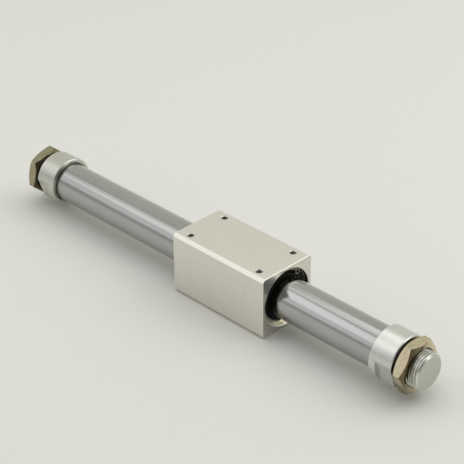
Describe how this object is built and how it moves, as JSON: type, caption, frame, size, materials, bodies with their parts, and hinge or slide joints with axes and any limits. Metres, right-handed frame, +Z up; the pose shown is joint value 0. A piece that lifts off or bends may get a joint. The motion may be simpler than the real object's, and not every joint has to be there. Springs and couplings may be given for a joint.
{
  "type": "rodless pneumatic cylinder",
  "caption": "Rodless air cylinder: a slim steel tube with threaded noses and hex nuts at its ends, and a square slider block that magnets carry along it.",
  "frame": {"origin": "on the tube's axis, midway between the ends of the two threaded noses, which is the middle of the whole box", "axes": "+X along the tube towards the right head cover, +Z up out of the slider block's drilled face, +Y to the side the camera doesn't see"},
  "size_m": [0.292, 0.036, 0.036],
  "materials": {
    "stainless_tube": "drawn stainless steel, fine brushing round the tube",
    "cover_aluminium": "turned aluminium, clear anodised, satin",
    "nut_plating": "nickel-plated steel with a warm tint",
    "black_rubber": "matt black",
    "spring_steel": "phosphated spring steel",
    "block_anodised": "fine satin anodising, slightly warm",
    "plain_aluminium": "turned",
    "felt": "pressed felt soaked in grease",
    "magnet_nickel": "nickel-plated rare-earth magnet",
    "yoke_steel": "ground mild steel",
    "wear_ring_resin": "filled resin, dull",
    "shaft_steel": "ground steel"
  },
  "bodies": {
    "cylinder": {"cylinder_tube": "stainless_tube", "left_head_cover": "cover_aluminium", "right_head_cover": "cover_aluminium", "left_mounting_nut": "nut_plating", "right_mounting_nut": "nut_plating", "left_bumper": "black_rubber", "right_bumper": "black_rubber", "left_tube_gasket": "black_rubber", "right_tube_gasket": "black_rubber", "left_lock_ring": "spring_steel", "right_lock_ring": "spring_steel"},
    "slider_bearings": {"left_slider_wear_ring": "wear_ring_resin", "right_slider_wear_ring": "wear_ring_resin"},
    "slider": {"slider_block": "block_anodised", "left_snap_ring": "spring_steel", "right_snap_ring": "spring_steel", "left_end_spacer": "plain_aluminium", "right_end_spacer": "plain_aluminium", "left_scraper": "black_rubber", "right_scraper": "black_rubber", "left_lube_retainer": "felt", "right_lube_retainer": "felt", "outer_magnet_1": "magnet_nickel", "outer_magnet_2": "magnet_nickel", "outer_magnet_3": "magnet_nickel", "outer_magnet_4": "magnet_nickel", "outer_yoke_1": "yoke_steel", "outer_yoke_2": "yoke_steel", "outer_yoke_3": "yoke_steel", "outer_yoke_4": "yoke_steel", "outer_yoke_5": "yoke_steel"},
    "piston": {"piston_shaft": "shaft_steel", "left_piston": "plain_aluminium", "right_piston": "plain_aluminium", "left_piston_seal": "black_rubber", "right_piston_seal": "black_rubber", "left_piston_wear_ring": "wear_ring_resin", "right_piston_wear_ring": "wear_ring_resin", "left_piston_nut": "shaft_steel", "right_piston_nut": "shaft_steel", "inner_magnet_1": "magnet_nickel", "inner_magnet_2": "magnet_nickel", "inner_magnet_3": "magnet_nickel", "inner_magnet_4": "magnet_nickel", "inner_yoke_1": "yoke_steel", "inner_yoke_2": "yoke_steel", "inner_yoke_3": "yoke_steel", "inner_yoke_4": "yoke_steel", "inner_yoke_5": "yoke_steel"}
  },
  "joints": [
    {"name": "slider_travel", "type": "slide", "parent": "cylinder", "child": "slider_bearings", "axis": [1, 0, 0], "range_m": [-0.1, 0.06]},
    {"name": "slider_turn", "type": "hinge", "parent": "slider_bearings", "child": "slider", "pos_m": [0.02, 0, 0], "axis": [1, 0, 0], "continuous": true},
    {"name": "piston_travel", "type": "slide", "parent": "cylinder", "child": "piston", "axis": [1, 0, 0], "range_m": [-0.1, 0.06]}
  ],
  "couplings": [
    {"joint": "piston_travel", "follows": "slider_travel", "ratio": 1}
  ]
}
